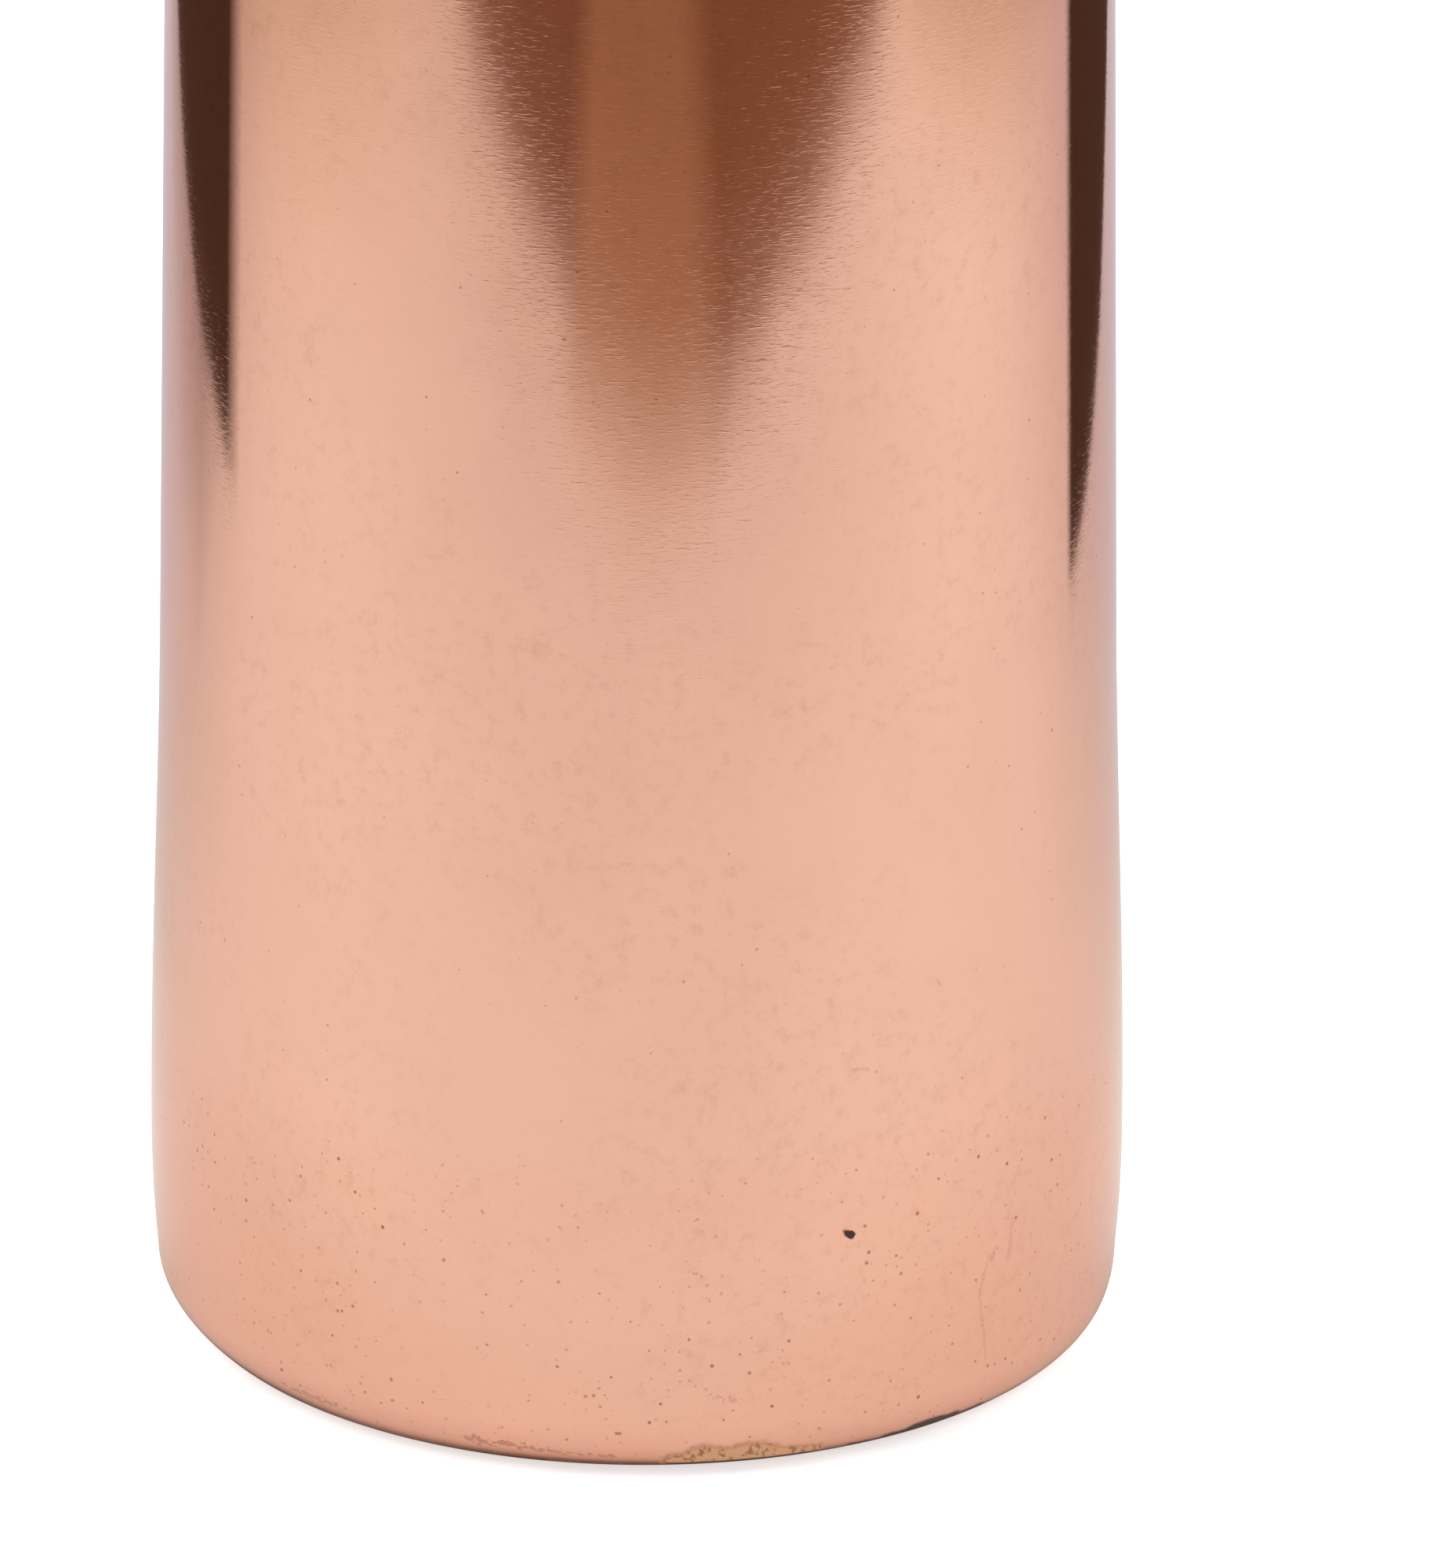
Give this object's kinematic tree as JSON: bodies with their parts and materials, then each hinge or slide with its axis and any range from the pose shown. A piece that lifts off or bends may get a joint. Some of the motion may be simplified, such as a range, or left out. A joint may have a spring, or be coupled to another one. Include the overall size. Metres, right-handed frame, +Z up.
{
  "type": "water bottle",
  "caption": "Copper water bottle: slim, slightly tapered body with rounded base corner, domed shoulder, threaded neck and a screw cap with a gasket.",
  "frame": {"origin": "centre of the base, on the surface the bottle stands on", "axes": "+Z up along the bottle's own axis, from the base to the cap; X and Y are square to it, and the bottle is turned about Z, so it has no front"},
  "size_m": [0.075, 0.075, 0.2658],
  "materials": {
    "polished_copper": "polished and clear-lacquered copper",
    "plain_copper": "plain, unpolished copper",
    "silicone": "matt silicone"
  },
  "bodies": {
    "bottle": {"body_shell": "polished_copper", "base_plate": "plain_copper", "shoulder_shell": "polished_copper", "neck_collar": "plain_copper"},
    "seal": {"cap_gasket": "silicone"},
    "cap": {"cap_shell": "polished_copper", "cap_thread_ring": "plain_copper", "cap_sealing_cup": "plain_copper"}
  },
  "joints": [
    {"name": "cap_lift", "type": "slide", "parent": "bottle", "child": "seal", "axis": [0, 0, 1], "range_m": [0, 0.025]},
    {"name": "cap_turn", "type": "hinge", "parent": "seal", "child": "cap", "pos_m": [0, 0, 0.25], "axis": [0, 0, 1], "range_deg": [0, 1800]}
  ],
  "couplings": [
    {"joint": "cap_lift", "follows": "cap_turn", "m_per_rad": 0.00079577}
  ]
}
